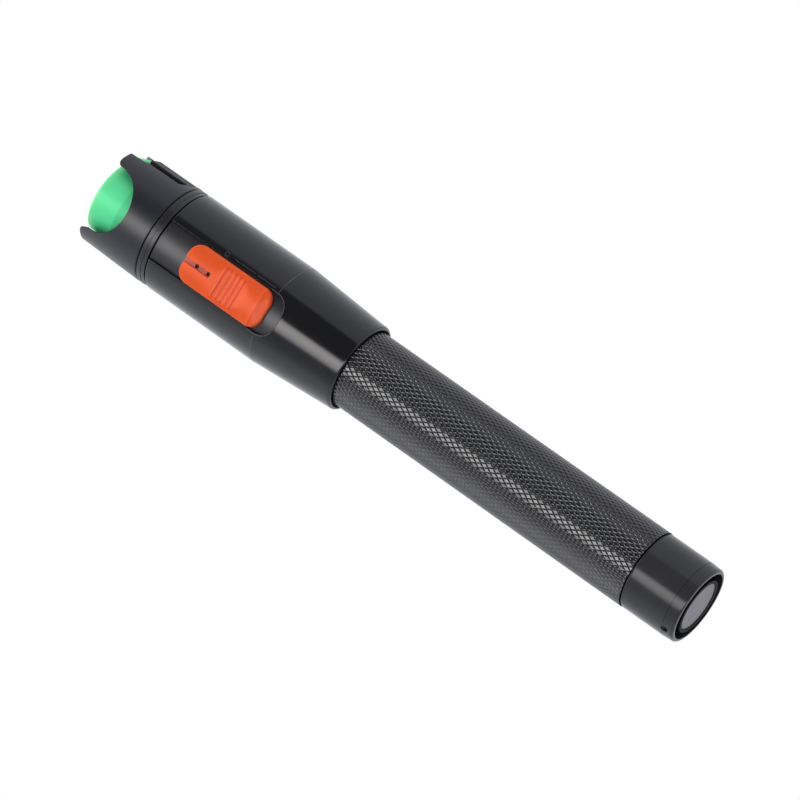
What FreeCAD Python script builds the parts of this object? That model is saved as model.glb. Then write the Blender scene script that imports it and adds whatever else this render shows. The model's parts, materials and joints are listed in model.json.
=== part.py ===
import FreeCAD, Part
import math
import os
import Sketcher

# Pen-type visual fault locator, standing on its tail.
# Frame: millimetres, origin at the middle of the tail face, +Z towards the optical port,
# -Y through the middle of the slide button, +X through the hinge of the dust cap.

DRIVING_SIZES = [
    # tail cap
    ("cap_step", 0.1),
    ("cap_length", 14.5),
    ("cap_nose_length", 3.0),
    ("cap_nose_drop", 0.2),
    ("cap_edge_round", 0.65),
    ("rim_wall", 1.15),
    ("groove_width", 1.75),
    ("groove_depth", 3.3),
    ("cap_web", 1.4),
    ("disc_rim", 0.9),
    ("disc_thickness", 1.0),
    ("disc_inset", 0.2),
    ("lanyard_hole_diameter", 1.8),
    ("lanyard_hole_height", 2.25),
    ("lanyard_hole_turn", 50.0),
    ("seal_thickness", 0.3),
    ("seal_width", 1.05),
    # battery tube and cells
    ("tube_diameter", 20.2),
    ("tube_bore", 15.2),
    ("knurl_starts", 32.0),
    ("knurl_angle", 30.6),
    ("knurl_depth", 0.45),
    ("rear_neck_step", 1.35),
    ("rear_neck_length", 7.4),
    ("front_neck_step", 1.1),
    ("front_neck_length", 9.0),
    ("cell_diameter", 14.3),
    ("cell_length", 50.5),
    ("nub_diameter", 5.5),
    ("nub_height", 1.2),
    ("cell_round", 0.6),
    ("cell_play", 0.95),
    ("spring_height", 4.0),
    ("spring_wire", 0.7),
    ("spring_wide", 11.0),
    ("spring_narrow", 4.6),
    ("spring_turns", 3.0),
    # body shell
    ("body_diameter", 26.0),
    ("mouth_diameter", 22.9),
    ("cone_length", 22.8),
    ("barrel_length", 32.3),
    ("mouth_bore_diameter", 21.5),
    ("mouth_bore_depth", 2.4),
    ("mouth_round", 0.7),
    ("body_wall", 2.45),
    ("web_thickness", 1.2),
    ("web_hole_diameter", 12.0),
    ("front_round", 0.4),
    # track panel and slide button
    ("track_length", 36.1),
    ("track_width", 10.7),
    ("track_corner", 4.0),
    ("track_sink", 0.6),
    ("track_slot_width", 3.4),
    ("button_length", 24.1),
    ("button_width", 10.1),
    ("button_front_corner", 4.3),
    ("button_rear_corner", 3.5),
    ("button_setback", 8.6),
    ("button_proud", 1.1),
    ("dish_radius", 20.0),
    ("dish_depth", 0.85),
    ("dish_setback", 13.6),
    ("ramp_length", 1.9),
    ("ramp_drop", 0.8),
    ("rib_pitch", 1.35),
    ("rib_width", 0.55),
    ("rib_length", 8.2),
    ("rib_height", 0.22),
    ("rib_count", 5.0),
    ("rib_shift", 0.4),
    ("slot_length", 7.8),
    ("slot_width", 1.5),
    ("slot_depth", 0.8),
    ("slot_pit_diameter", 0.95),
    ("slot_pit_depth", 0.5),
    ("pit_spacing", 3.8),
    ("switch_travel", 3.0),
    ("stem_length", 6.0),
    ("stem_width", 3.0),
    ("stem_setback", 8.6),
    ("carrier_thickness", 1.2),
    ("carrier_width", 8.0),
    ("carrier_length", 10.0),
    # spacer ring and head
    ("seam_gap", 0.3),
    ("ring_thickness", 2.25),
    ("ring_drop", 0.08),
    ("ring_step", 0.12),
    ("head_length", 17.55),
    ("head_taper", 0.45),
    ("head_wall", 1.65),
    ("head_floor", 2.5),
    ("head_neck_length", 8.1),
    ("head_neck_wall", 1.9),
    ("scallop_half", 8.4),
    ("scallop_depth", 10.25),
    ("tip_round", 1.6),
    ("notch_half_width", 4.8),
    ("notch_depth", 4.4),
    ("facet_depth", 1.12),
    ("facet_setback", 3.4),
    ("facet_run_out", 2.4),
    ("bracket_width", 5.2),
    ("bracket_thickness", 1.9),
    ("bracket_proud", 0.75),
    # dust cap and hinge
    ("hinge_inset", 2.25),
    ("hinge_drop", 1.4),
    ("pin_diameter", 0.9),
    ("pin_seat", 0.8),
    ("knuckle_radius", 1.0),
    ("dust_cap_gap", 1.5),
    ("dust_cap_proud", 0.6),
    ("dust_cap_depth", 10.9),
    ("dust_cap_wall", 1.2),
    ("dust_cap_taper", 0.8),
    ("dust_cap_straight", 7.2),
    ("dust_cap_round", 0.7),
    # optics
    ("ferrule_diameter", 2.5),
    ("sleeve_wall", 0.35),
    ("sleeve_slit", 0.4),
    ("sleeve_length", 9.4),
    ("adapter_diameter", 6.5),
    ("adapter_reach", 8.4),
    ("adapter_flange_diameter", 11.0),
    ("adapter_flange", 1.5),
    ("light_hole_diameter", 1.6),
    ("module_diameter", 10.0),
    ("module_length", 14.5),
    ("diode_diameter", 5.6),
    ("diode_length", 3.6),
    ("lens_diameter", 6.0),
    ("lens_thickness", 2.0),
    ("sink_length", 8.0),
    # electronics
    ("board_thickness", 1.6),
    ("board_offset", 1.0),
    ("carrier_disc_thickness", 2.0),
    ("contact_diameter", 6.0),
    ("contact_flange", 9.0),
    ("switch_length", 12.0),
    ("switch_width", 6.6),
    ("switch_height", 3.4),
    ("solder_gap", 0.05),
    ("knob_size", 2.0),
    ("chip_size", 5.0),
    ("chip_height", 1.5),
    ("can_diameter", 6.3),
    ("can_height", 5.4),
    # clearances
    ("fixed_gap", 0.05),
    ("running_gap", 0.08),
    ("slide_gap", 0.25),
    ("cap_gap", 0.4),
]

DERIVED_SIZES = [
    # radii
    ("lanyard_hole_radius", "lanyard_hole_diameter / 2"),
    ("tube_radius", "tube_diameter / 2"),
    ("cap_radius", "tube_radius - cap_step"),
    ("groove_outer", "cap_radius - rim_wall"),
    ("boss_radius", "groove_outer - groove_width"),
    ("disc_radius", "boss_radius - disc_rim"),
    ("disc_pocket", "disc_radius + fixed_gap"),
    ("disc_seat", "disc_inset + disc_thickness"),
    ("tube_bore_radius", "tube_bore / 2"),
    ("rear_neck_radius", "tube_radius - rear_neck_step"),
    ("cap_thread_radius", "rear_neck_radius + running_gap"),
    ("front_neck_radius", "tube_radius - front_neck_step"),
    ("knurl_valley", "tube_radius - knurl_depth"),
    ("knurl_rise", "pi * tube_radius / knurl_starts / tan(knurl_angle)"),
    ("cell_radius", "cell_diameter / 2"),
    ("nub_radius", "nub_diameter / 2"),
    ("body_radius", "body_diameter / 2"),
    ("mouth_radius", "mouth_diameter / 2"),
    ("mouth_bore_radius", "mouth_bore_diameter / 2"),
    ("body_thread_radius", "front_neck_radius + fixed_gap"),
    ("cavity_radius", "body_radius - body_wall"),
    ("web_hole_radius", "web_hole_diameter / 2"),
    ("neck_radius", "cavity_radius - fixed_gap"),
    ("neck_bore_radius", "neck_radius - head_neck_wall"),
    ("head_front_radius", "body_radius - head_taper"),
    ("head_bore_radius", "head_front_radius - head_wall"),
    ("ring_radius", "body_radius - ring_drop"),
    ("adapter_radius", "adapter_diameter / 2"),
    ("flange_radius", "adapter_flange_diameter / 2"),
    ("ferrule_radius", "ferrule_diameter / 2"),
    ("sleeve_radius", "ferrule_radius + sleeve_wall"),
    ("adapter_bore_radius", "sleeve_radius + fixed_gap"),
    ("light_hole_radius", "light_hole_diameter / 2"),
    ("module_radius", "module_diameter / 2"),
    ("lens_radius", "lens_diameter / 2"),
    ("diode_radius", "diode_diameter / 2"),
    ("dust_cap_radius", "head_bore_radius - dust_cap_gap"),
    ("dust_cap_inner", "dust_cap_radius - dust_cap_wall"),
    ("dust_cap_end_radius", "dust_cap_radius - dust_cap_taper"),
    ("dust_cap_end_inner", "dust_cap_end_radius - dust_cap_wall"),
    ("contact_radius", "contact_diameter / 2"),
    ("contact_flange_radius", "contact_flange / 2"),
    # heights above the tail face
    ("nose_start", "cap_nose_length"),
    ("cap_floor", "groove_depth + cap_web"),
    ("cell_start", "cap_floor + spring_height + 2 * fixed_gap"),
    ("cell_middle", "cell_start + cell_length + fixed_gap"),
    ("cell_end", "cell_middle + cell_length"),
    ("tube_start", "cap_length + seal_thickness + 2 * fixed_gap"),
    ("neck_start", "tube_start - rear_neck_length"),
    ("tube_end", "cell_end + cell_play"),
    ("crest_end", "tube_end - front_neck_length"),
    ("body_start", "crest_end + 2 * fixed_gap - mouth_bore_depth"),
    ("mouth_bore_end", "body_start + mouth_bore_depth"),
    ("web_start", "tube_end + fixed_gap"),
    ("web_end", "web_start + web_thickness"),
    ("crease_height", "body_start + cone_length"),
    ("body_end", "crease_height + barrel_length"),
    ("ring_start", "body_end + seam_gap"),
    ("ring_middle", "ring_start + ring_thickness / 2"),
    ("ring_end", "ring_start + ring_thickness"),
    ("head_start", "ring_end + seam_gap"),
    ("tip_height", "head_start + head_length"),
    ("neck_end", "head_start - head_neck_length"),
    ("port_floor", "head_start + 1.1"),
    ("port_back", "port_floor - head_floor"),
    ("adapter_top", "port_floor + adapter_reach"),
    ("flange_start", "port_back - adapter_flange"),
    ("sleeve_start", "adapter_top - sleeve_length - 2 * fixed_gap"),
    ("module_end", "flange_start - fixed_gap"),
    ("module_start", "module_end - module_length"),
    ("sink_end", "neck_end - fixed_gap"),
    ("sink_start", "sink_end - sink_length"),
    ("disc_start", "web_end + fixed_gap"),
    ("disc_end", "disc_start + carrier_disc_thickness"),
    ("board_start", "disc_end + fixed_gap"),
    ("board_end", "module_start - 2 * fixed_gap"),
    # track and button
    ("track_start", "body_end - track_length"),
    ("track_half", "track_width / 2"),
    ("panel_half", "track_half - 2 * fixed_gap"),
    ("panel_radius", "body_radius - track_sink"),
    ("panel_inner", "cavity_radius + fixed_gap"),
    ("panel_start", "track_start + 2 * fixed_gap"),
    ("panel_corner", "track_corner - 2 * fixed_gap"),
    ("button_end", "body_end - button_setback"),
    ("button_start", "button_end - button_length"),
    ("button_half", "button_width / 2"),
    ("button_inner", "panel_radius + slide_gap"),
    ("button_outer", "body_radius + button_proud"),
    ("dish_middle", "button_end - dish_setback"),
    ("dish_centre", "button_outer + dish_radius - dish_depth"),
    ("ramp_top", "button_start + ramp_length"),
    ("rib_half", "rib_length / 2"),
    ("rib_edge", "rib_width / 2"),
    ("rib_span", "rib_pitch * (rib_count - 1)"),
    ("rib_first", "dish_middle - rib_span / 2 + rib_shift"),
    ("rib_foot", "button_outer - dish_depth - rib_height"),
    ("rib_rise", "button_outer - rib_foot"),
    ("slot_start", "button_end - slot_length"),
    ("slot_half", "slot_width / 2"),
    ("slot_round", "slot_half - fixed_gap"),
    ("slot_floor", "button_outer - slot_depth"),
    ("pit_radius", "slot_pit_diameter / 2"),
    ("pit_floor", "slot_floor - slot_pit_depth"),
    ("stem_end", "button_end - stem_setback"),
    ("stem_start", "stem_end - stem_length"),
    ("stem_middle", "stem_end - stem_length / 2"),
    ("stem_half", "stem_width / 2"),
    ("track_slot_half", "track_slot_width / 2"),
    ("track_slot_start", "stem_start - switch_travel - slide_gap"),
    ("track_slot_end", "stem_end + slide_gap"),
    ("carrier_outer", "panel_inner - slide_gap"),
    ("carrier_inner", "carrier_outer - carrier_thickness"),
    ("carrier_floor", "sqrt(carrier_inner * carrier_inner - carrier_width * carrier_width / 4)"),
    ("carrier_half", "carrier_width / 2"),
    ("carrier_start", "stem_middle - carrier_length / 2"),
    ("carrier_end", "stem_middle + carrier_length / 2"),
    ("stem_top", "sqrt(button_inner * button_inner - stem_half * stem_half)"),
    ("stem_rise", "stem_top - carrier_floor"),
    # hinge
    ("hinge_reach", "head_front_radius - hinge_inset"),
    ("hinge_height", "tip_height - hinge_drop"),
    ("notch_floor", "tip_height - notch_depth"),
    ("scallop_floor", "tip_height - scallop_depth"),
    ("scallop_corner", "scallop_half - fixed_gap"),
    ("facet_face", "body_radius - facet_depth"),
    ("facet_end", "head_start + facet_setback"),
    ("facet_fade", "facet_end - facet_run_out"),
    ("bracket_half", "bracket_width / 2"),
    ("bracket_seat_half", "bracket_half + fixed_gap"),
    ("bracket_face", "facet_face + bracket_proud"),
    ("bracket_back", "bracket_face - bracket_thickness"),
    ("bracket_end", "notch_floor - fixed_gap"),
    ("bracket_start", "head_start + 1.0"),
    ("dust_cap_top", "tip_height + dust_cap_proud"),
    ("dust_cap_end", "dust_cap_top - dust_cap_depth"),
    ("dust_cap_roof", "dust_cap_top - dust_cap_wall"),
    ("dust_cap_bend", "dust_cap_top - dust_cap_straight"),
    ("pin_radius", "pin_diameter / 2"),
    ("pin_half", "notch_half_width + pin_seat"),
    ("pin_length", "2 * pin_half"),
    ("knuckle_corner", "knuckle_radius - fixed_gap"),
    ("lug_width", "2 * notch_half_width - cap_gap"),
    # port and laser
    ("adapter_hole", "adapter_radius + fixed_gap"),
    ("sleeve_end", "sleeve_start + sleeve_length"),
    ("sleeve_lip", "2 * fixed_gap"),
    ("ferrule_mouth", "ferrule_radius + fixed_gap"),
    ("adapter_round", "sleeve_wall"),
    ("slit_half", "sleeve_slit / 2"),
    ("module_lip", "0.6"),
    ("lens_end", "module_end - module_lip - fixed_gap"),
    ("lens_start", "lens_end - lens_thickness"),
    ("lens_pocket", "lens_radius + fixed_gap"),
    ("lens_shoulder", "lens_radius * 0.5"),
    ("lens_crown", "lens_thickness * 0.4"),
    ("diode_end", "module_start + diode_length"),
    ("diode_pocket", "diode_radius + fixed_gap"),
    ("diode_can_radius", "diode_radius * 0.8"),
    ("diode_flange", "diode_length / 3"),
    # board
    ("contact_step", "disc_start + carrier_disc_thickness / 2"),
    ("board_front", "board_offset + board_thickness"),
    ("board_half", "sqrt(neck_radius * neck_radius - board_front * board_front) - fixed_gap"),
    ("switch_front", "board_front + solder_gap + switch_height"),
    ("switch_half", "switch_width / 2"),
    ("switch_start", "stem_middle - switch_travel / 2 - switch_length / 2"),
    ("switch_end", "switch_start + switch_length"),
    ("knob_half", "knob_size / 2"),
    ("knob_rise", "carrier_floor - switch_front - slide_gap"),
    ("chip_half", "chip_size / 2"),
    ("chip_start", "board_start + 1.5"),
    ("can_radius", "can_diameter / 2"),
    ("can_middle", "board_start + 6"),
]

# Points in one turn of the spring's path, and sides of its wire.
TURN_STEPS = 16
WIRE_FLATS = 8

doc = FreeCAD.newDocument("visual_fault_locator")
sheet = doc.addObject("Spreadsheet::Sheet", "Sizes")


def fill_sheet():
    """Write the driving sizes as numbers and the rest as formulas, each with its alias."""
    row = 0
    for alias, number in DRIVING_SIZES:
        row += 1
        sheet.set("A%d" % row, alias)
        sheet.set("B%d" % row, str(number))
        sheet.setAlias("B%d" % row, alias)
    for alias, formula in DERIVED_SIZES:
        row += 1
        sheet.set("A%d" % row, alias)
        sheet.set("B%d" % row, "=" + formula)
        sheet.setAlias("B%d" % row, alias)
    doc.recompute()


fill_sheet()
ALIASES = {alias for alias, _ in DRIVING_SIZES + DERIVED_SIZES}


def value(words):
    """Number that a sum such as 'tube_end + fixed_gap' stands for."""
    total = 0.0
    sign = 1
    for word in words.split():
        if word == "-":
            sign = -1
        elif word == "+":
            sign = 1
        elif word in ALIASES:
            total += sign * float(sheet.get(word))
        else:
            total += sign * float(word)
    return total


def formula(words):
    """The same sum as an expression on the sheet."""
    return " ".join("Sizes." + word if word in ALIASES else word for word in words.split())


def bind(item, prop, words):
    """Tie a property to a sum of sizes."""
    item.setExpression(prop, formula(words))


# ---------------------------------------------------------------- sketching

def new_body(label):
    body = doc.addObject("PartDesign::Body", label)
    body.Label = label
    return body


def new_sketch(body, plane, name):
    """Sketch on one of the body's own origin planes."""
    sketch = body.newObject("Sketcher::SketchObject", name)
    origin = [item for item in body.Origin.OriginFeatures if item.Role == plane]
    sketch.AttachmentSupport = [(origin[0], "")]
    sketch.MapMode = "FlatFace"
    return sketch


def fix_point(sketch, geometry, position, across, up, name):
    """Dimension one point from the sketch origin, each way bound to the sheet; None leaves it free."""
    for axis, words, line in (("DistanceX", across, -2), ("DistanceY", up, -1)):
        if words is None:
            continue
        if words == "0":
            sketch.addConstraint(Sketcher.Constraint("PointOnObject", geometry, position, line))
            continue
        number = value(words)
        index = sketch.addConstraint(Sketcher.Constraint(axis, -1, 1, geometry, position, number))
        label = name + ("_x" if axis == "DistanceX" else "_y")
        sketch.renameConstraint(index, label)
        bind(sketch, "Constraints." + label, words)


def corner_arc(before, corner, after, radius):
    """Arc that rounds a corner: its two ends, and the arc itself counter-clockwise."""
    back = (before - corner).normalize()
    ahead = (after - corner).normalize()
    half = back.getAngle(ahead) / 2
    reach = radius / math.tan(half)
    first = corner + back * reach
    last = corner + ahead * reach
    centre = corner + (back + ahead).normalize() * (radius / math.sin(half))
    turns_left = back.cross(ahead).z < 0
    start, end = (first, last) if turns_left else (last, first)
    start_angle = math.atan2(start.y - centre.y, start.x - centre.x)
    end_angle = math.atan2(end.y - centre.y, end.x - centre.x)
    circle = Part.Circle(centre, FreeCAD.Vector(0, 0, 1), radius)
    return first, last, Part.ArcOfCircle(circle, start_angle, end_angle), turns_left


def draw_outline(sketch, corners):
    """Closed outline. A corner is (across, up) or (across, up, radius), in sums of sizes."""
    points = [FreeCAD.Vector(value(corner[0]), value(corner[1]), 0) for corner in corners]
    count = len(points)
    arcs = {}
    starts = list(points)
    ends = list(points)
    for index, corner in enumerate(corners):
        if len(corner) == 3:
            before, after = points[index - 1], points[(index + 1) % count]
            arcs[index] = corner_arc(before, points[index], after, value(corner[2]))
            ends[index], starts[index] = arcs[index][0], arcs[index][1]
    base = sketch.GeometryCount
    for index in range(count):
        sketch.addGeometry(Part.LineSegment(starts[index], ends[(index + 1) % count]), False)
    for index, corner in enumerate(corners):
        line_in, line_out = base + (index - 1) % count, base + index
        name = "p%d" % (base + index)
        if index not in arcs:
            sketch.addConstraint(Sketcher.Constraint("Coincident", line_in, 2, line_out, 1))
            fix_point(sketch, line_out, 1, corner[0], corner[1], name)
            continue
        arc = sketch.addGeometry(arcs[index][2], False)
        first, last = (1, 2) if arcs[index][3] else (2, 1)
        sketch.addConstraint(Sketcher.Constraint("Tangent", line_in, 2, arc, first))
        sketch.addConstraint(Sketcher.Constraint("Tangent", arc, last, line_out, 1))
        spot = sketch.addGeometry(Part.Point(points[index]), True)
        sketch.addConstraint(Sketcher.Constraint("PointOnObject", spot, 1, line_in))
        sketch.addConstraint(Sketcher.Constraint("PointOnObject", spot, 1, line_out))
        fix_point(sketch, spot, 1, corner[0], corner[1], name)
        number = sketch.addConstraint(Sketcher.Constraint("Radius", arc, value(corner[2])))
        sketch.renameConstraint(number, name + "_r")
        bind(sketch, "Constraints." + name + "_r", corner[2])


def draw_circle(sketch, across, up, radius):
    centre = FreeCAD.Vector(value(across), value(up), 0)
    circle = Part.Circle(centre, FreeCAD.Vector(0, 0, 1), value(radius))
    index = sketch.addGeometry(circle, False)
    name = "c%d" % index
    fix_point(sketch, index, 3, across, up, name)
    number = sketch.addConstraint(Sketcher.Constraint("Radius", index, value(radius)))
    sketch.renameConstraint(number, name + "_r")
    bind(sketch, "Constraints." + name + "_r", radius)


def draw_box(sketch, half_width, low, high):
    """Upright rectangle, centred across the sketch."""
    draw_outline(sketch, [("- " + half_width, low), (half_width, low),
                          (half_width, high), ("- " + half_width, high)])


# ---------------------------------------------------------------- features

def turn(body, name, corners, kind="PartDesign::Revolution"):
    """Revolve an outline of (radius, height) corners about the pen's axis."""
    sketch = new_sketch(body, "XZ_Plane", name + "_profile")
    draw_outline(sketch, corners)
    feature = body.newObject(kind, name)
    feature.Profile = sketch
    feature.ReferenceAxis = (sketch, ["V_Axis"])
    feature.Angle = 360
    doc.recompute()
    return feature


def extrude(body, sketch, name, kind, length=None, midplane=False, reversed_way=False):
    """Pad or pocket a sketch; without a length it goes right through."""
    feature = body.newObject(kind, name)
    feature.Profile = sketch
    if length is None:
        feature.Type = "ThroughAll"
    else:
        feature.Type = "Length"
        bind(feature, "Length", length)
    feature.Midplane = midplane
    feature.Reversed = reversed_way
    doc.recompute()
    return feature


def cut_checked(body, sketch, name, length=None, midplane=False, reversed_way=False):
    """Pocket that must take material away."""
    before = body.Shape.Volume
    feature = extrude(body, sketch, name, "PartDesign::Pocket", length, midplane, reversed_way)
    if body.Shape.Volume > before - 1e-4:
        raise RuntimeError(name + " cuts nothing")
    return feature


def offset_sketch(sketch, words):
    """Move a sketch along its own normal."""
    bind(sketch, "AttachmentOffset.Base.z", words)


def around(radius, degrees, height):
    """Point at a radius, a bearing about the pen's axis and a height."""
    bearing = math.radians(degrees)
    return FreeCAD.Vector(radius * math.cos(bearing), radius * math.sin(bearing), height)


def closed_wire(points):
    return Part.makePolygon(points + points[:1])


def plain_feature(label, shape):
    """Node for a shape that no parametric feature makes."""
    item = doc.addObject("Part::Feature", label)
    item.Label = label
    item.Shape = shape
    return item


def turned_part(label, corners):
    body = new_body(label)
    turn(body, label + "_turn", corners)
    return body


# ---------------------------------------------------------------- tail

def make_tail_cap():
    """Turned cap: annular groove and boss on its face, threaded bore inside."""
    body = turned_part("tail_cap", [
        ("groove_outer", "0"), ("cap_radius - cap_nose_drop", "0", "cap_edge_round"),
        ("cap_radius", "nose_start"), ("cap_radius", "cap_length"),
        ("cap_thread_radius", "cap_length"), ("cap_thread_radius", "cap_floor"),
        ("0", "cap_floor"), ("0", "disc_seat"), ("disc_pocket", "disc_seat"),
        ("disc_pocket", "0"), ("boss_radius", "0"), ("boss_radius", "groove_depth"),
        ("groove_outer", "groove_depth")])
    sketch = new_sketch(body, "XZ_Plane", "lanyard_hole_circle")
    draw_circle(sketch, "0", "lanyard_hole_height", "lanyard_hole_radius")
    way = FreeCAD.Rotation(FreeCAD.Vector(0, 1, 0), -value("lanyard_hole_turn"))
    start = way.multVec(FreeCAD.Vector(0, 0, value("boss_radius + fixed_gap")))
    sketch.AttachmentOffset = FreeCAD.Placement(start, way)
    cut_checked(body, sketch, "lanyard_hole", "groove_width + rim_wall", reversed_way=True)
    return body


def make_end_disc():
    """Satin disc let into the boss of the tail cap."""
    return turned_part("end_disc", [
        ("0", "disc_inset"), ("disc_radius", "disc_inset"),
        ("disc_radius", "disc_seat - fixed_gap"), ("0", "disc_seat - fixed_gap")])


def make_tail_seal():
    """Flat rubber ring between the tail cap and the tube's shoulder."""
    low, high = "cap_length + fixed_gap", "tube_start - fixed_gap"
    inner = "rear_neck_radius + fixed_gap"
    return turned_part("tail_seal", [
        (inner, low), (inner + " + seal_width", low), (inner + " + seal_width", high), (inner, high)])


def make_tail_spring():
    """Conical contact spring standing on the cap's floor, its wire drawn with flats."""
    wire = value("spring_wire") / 2
    low = value("cap_floor + fixed_gap") + wire
    rise = value("spring_height") - 2 * wire
    wide = value("spring_wide") / 2 - wire
    narrow = value("spring_narrow") / 2
    count = int(round(value("spring_turns") * TURN_STEPS))
    points = []
    for index in range(count + 1):
        share = index / count
        radius = wide + (narrow - wide) * share
        points.append(around(radius, 360.0 * index / TURN_STEPS, low + rise * share))
    curve = Part.BSplineCurve()
    curve.interpolate(points)
    path = curve.toShape()
    along = path.tangentAt(path.FirstParameter)
    side = along.cross(FreeCAD.Vector(0, 0, 1)).normalize() * wire
    turns = [FreeCAD.Rotation(along, 360.0 * flat / WIRE_FLATS) for flat in range(WIRE_FLATS)]
    section = closed_wire([points[0] + turn_by.multVec(side) for turn_by in turns])
    return plain_feature("tail_spring", Part.Wire([path]).makePipeShell([section], True, True))


# ---------------------------------------------------------------- tube and cells

def knurl_row(row, height):
    """Zigzag round the tube; crests and valleys swap places from row to row."""
    steps = 2 * int(round(value("knurl_starts")))
    radii = (value("tube_radius"), value("knurl_valley"))
    return [around(radii[(row + step) % 2], 360.0 * step / steps, height) for step in range(steps)]


def knurl_facets(row, lower, upper):
    """Facets between two rows; each cell folds along the groove that joins its two valleys."""
    facets = []
    for step in range(len(lower)):
        ahead = (step + 1) % len(lower)
        cell = [lower[step], lower[ahead], upper[ahead], upper[step]]
        if (row + step) % 2:
            halves = (cell[:3], cell[2:] + cell[:1])
        else:
            halves = (cell[1:], cell[3:] + cell[:2])
        facets += [Part.Face(closed_wire(half)) for half in halves]
    return facets


def shoulder_face(row, neck_radius):
    """Flat end of the knurl, from its zigzag rim in to the neck."""
    neck = Part.Wire([Part.makeCircle(value(neck_radius), FreeCAD.Vector(0, 0, row[0].z))])
    return Part.Face(closed_wire(row)).cut(Part.Face(neck)).Faces


def make_tube():
    """Battery tube: diamond knurl between its shoulders and a threaded neck at each end."""
    low, high = value("tube_start"), value("crest_end")
    count = int(round((high - low) / value("knurl_rise")))
    rows = [knurl_row(row, low + (high - low) * row / count) for row in range(count + 1)]
    faces = shoulder_face(rows[0], "rear_neck_radius") + shoulder_face(rows[-1], "front_neck_radius")
    for row in range(count):
        faces += knurl_facets(row, rows[row], rows[row + 1])
    profile = [("front_neck_radius", "crest_end"), ("front_neck_radius", "tube_end"),
               ("tube_bore_radius", "tube_end"), ("tube_bore_radius", "neck_start"),
               ("rear_neck_radius", "neck_start"), ("rear_neck_radius", "tube_start")]
    outline = Part.makePolygon([around(value(radius), 0, value(height)) for radius, height in profile])
    faces += outline.revolve(FreeCAD.Vector(0, 0, 0), FreeCAD.Vector(0, 0, 1), 360).Faces
    skin = Part.Compound(faces)
    skin.sewShape()
    return plain_feature("battery_tube", Part.makeSolid(skin))


def make_cell(label, low, high):
    """AA cell with its positive nub towards the head."""
    shoulder = high + " - nub_height"
    return turned_part(label, [
        ("0", low), ("cell_radius", low, "cell_round"), ("cell_radius", shoulder, "cell_round"),
        ("nub_radius", shoulder), ("nub_radius", high), ("0", high)])


# ---------------------------------------------------------------- body shell and track

def make_body_shell():
    """Cone and barrel in one moulding, threaded at the rear, with the track cut in its side."""
    body = turned_part("body_shell", [
        ("mouth_bore_radius", "body_start"), ("mouth_radius", "body_start", "mouth_round"),
        ("body_radius", "crease_height"), ("body_radius", "body_end", "front_round"),
        ("cavity_radius", "body_end"), ("cavity_radius", "web_end"),
        ("web_hole_radius", "web_end"), ("web_hole_radius", "web_start"),
        ("body_thread_radius", "web_start"), ("body_thread_radius", "mouth_bore_end"),
        ("mouth_bore_radius", "mouth_bore_end")])
    sketch = new_sketch(body, "XZ_Plane", "track_outline")
    draw_outline(sketch, track_corners("track_half", "track_start", "track_corner",
                                       "body_end + ring_thickness"))
    cut_checked(body, sketch, "track_cut", "body_diameter", reversed_way=True)
    return body


def track_corners(half, low, corner, high):
    """Strip with a rounded rear end, open to the front."""
    return [("- " + half, low, corner), (half, low, corner), (half, high), ("- " + half, high)]


def shell_between(body, name, inner, outer, low, high):
    """Cut a padded body back to the space between two radii about the pen's axis."""
    far = outer + " + body_radius"
    turn(body, name + "_outside", [(outer, low), (far, low), (far, high), (outer, high)],
         "PartDesign::Groove")
    turn(body, name + "_inside", [("0", low), (inner, low), (inner, high), ("0", high)],
         "PartDesign::Groove")


def pad_towards_button(body, name, corners):
    """Pad an outline from the pen's axis out past the button."""
    sketch = new_sketch(body, "XZ_Plane", name + "_outline")
    draw_outline(sketch, corners)
    return extrude(body, sketch, name, "PartDesign::Pad", "button_outer + body_wall")


def make_track_panel():
    """Curved plate let into the shell; the button slides on it."""
    body = new_body("track_panel")
    pad_towards_button(body, "panel_strip",
                       track_corners("panel_half", "panel_start", "panel_corner", "body_end"))
    shell_between(body, "panel", "panel_inner", "panel_radius",
                  "panel_start - body_wall", "body_end + body_wall")
    sketch = new_sketch(body, "XZ_Plane", "panel_slot_outline")
    draw_box(sketch, "track_slot_half", "track_slot_start", "track_slot_end")
    cut_checked(body, sketch, "panel_slot", "body_diameter", reversed_way=True)
    return body


def make_slide_button():
    """Orange thumb button: slot in front, ribbed dish in the middle, ramp at the rear."""
    body = new_body("slide_button")
    pad_towards_button(body, "button_block", [
        ("- button_half", "button_start", "button_rear_corner"),
        ("button_half", "button_start", "button_rear_corner"),
        ("button_half", "button_end", "button_front_corner"),
        ("- button_half", "button_end", "button_front_corner")])
    shell_between(body, "button", "button_inner", "button_outer",
                  "button_start - body_wall", "button_end + body_wall")
    sketch = new_sketch(body, "YZ_Plane", "button_dish_circle")
    draw_circle(sketch, "- dish_centre", "dish_middle", "dish_radius")
    cut_checked(body, sketch, "button_dish", "body_diameter", midplane=True)
    sketch = new_sketch(body, "YZ_Plane", "button_ramp_outline")
    draw_outline(sketch, [("- button_outer", "ramp_top"), ("- button_outer - ramp_drop", "ramp_top"),
                          ("- button_outer - ramp_drop", "button_start - ramp_drop"),
                          ("ramp_drop - button_outer", "button_start - ramp_drop"),
                          ("ramp_drop - button_outer", "button_start")])
    cut_checked(body, sketch, "button_ramp", "body_diameter", midplane=True)
    add_button_ribs(body)
    add_button_slot(body)
    return body


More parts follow.
